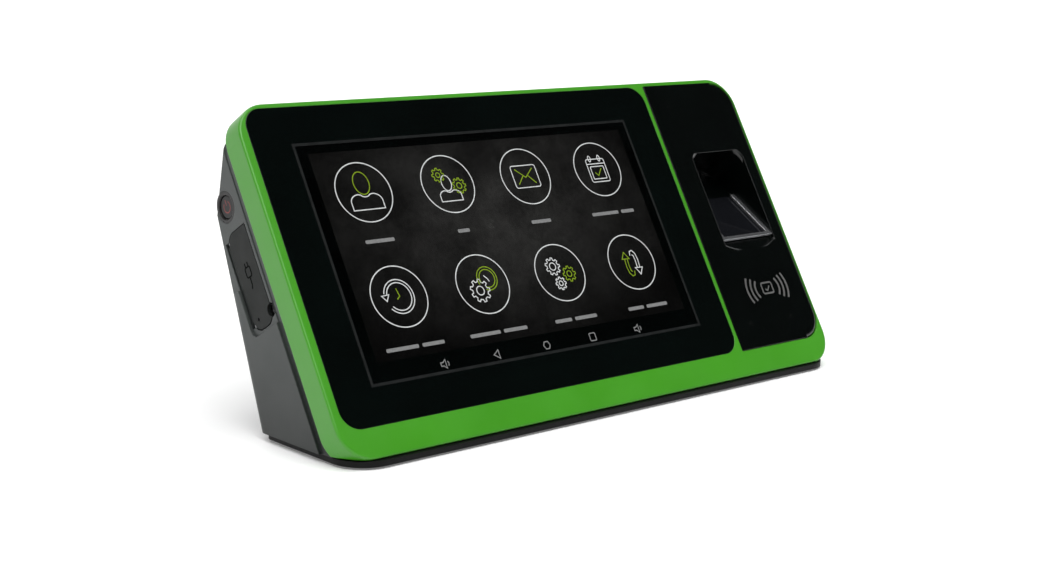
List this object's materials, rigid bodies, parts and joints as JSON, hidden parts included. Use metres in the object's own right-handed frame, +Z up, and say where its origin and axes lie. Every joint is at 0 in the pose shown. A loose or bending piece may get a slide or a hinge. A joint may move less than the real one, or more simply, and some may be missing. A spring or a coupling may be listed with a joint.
{
  "type": "fingerprint scanner terminal",
  "caption": "Desktop time-clock terminal: leaning touch display beside a sunken finger reader, wedge housing on a flat base, side power button and hinged port door.",
  "frame": {"origin": "middle of the footprint, under the feet", "axes": "+X to the right as seen by a user in front, +Y to the back, +Z up"},
  "size_m": [0.239, 0.078, 0.1087],
  "materials": {
    "green_paint": "satin",
    "cover_glass": "gloss",
    "gasket": "matte",
    "lcd": "matte",
    "backlight": "satin",
    "chassis": "satin",
    "screw": "satin",
    "black_gloss": "gloss",
    "sensor_glass": "gloss",
    "bezel": "gloss",
    "prism": "gloss",
    "black_plastic": "matte",
    "board": "satin",
    "housing": "satin",
    "base": "satin",
    "feet": "matte",
    "shield": "satin",
    "cell": "satin",
    "socket": "satin",
    "door": "satin",
    "button": "gloss",
    "ring": "satin",
    "battery": "satin",
    "speaker": "satin",
    "mesh": "matte",
    "antenna": "satin",
    "flat_cable": "satin",
    "wire": "satin"
  },
  "bodies": {
    "terminal": {"front_frame": "green_paint", "touch_glass": "cover_glass", "glass_gasket": "gasket", "display_cell": "lcd", "display_backlight": "backlight", "display_bracket": "chassis", "display_screws": "screw", "module_cover": "black_gloss", "module_screws": "screw", "sensor_window": "sensor_glass", "sensor_bezel": "bezel", "sensor_prism": "prism", "sensor_housing": "black_plastic", "sensor_board": "board", "card_antenna": "board", "rear_housing": "housing", "rear_screws": "screw", "base_plate": "base", "base_screws": "screw", "rubber_feet": "feet", "main_board": "board", "board_screws": "screw", "processor_shield": "shield", "clock_battery": "cell", "port_board": "board", "ethernet_jack": "socket", "power_jack": "black_plastic", "side_board": "board", "usb_socket": "socket", "micro_usb_socket": "socket", "door_pin": "screw", "button_ring": "ring", "power_switch": "black_plastic", "battery_pack": "battery", "speaker": "speaker", "speaker_mesh": "mesh", "wifi_antenna": "antenna", "display_cable": "flat_cable", "sensor_cable": "flat_cable", "battery_cable": "wire"},
    "door": {"usb_door": "door"},
    "button": {"power_button": "button", "switch_plunger": "black_plastic"}
  },
  "joints": [
    {"name": "power_press", "type": "slide", "parent": "terminal", "child": "button", "axis": [1, 0, 0], "range_m": [0, 0.0008], "stiffness_N_per_m": 2000, "springref_m": -0.0006},
    {"name": "door_hinge", "type": "hinge", "parent": "terminal", "child": "door", "pos_m": [-0.1169, 0.02311, 0.04974], "axis": [0, -0.515, -0.8572], "range_deg": [0, 90]}
  ]
}
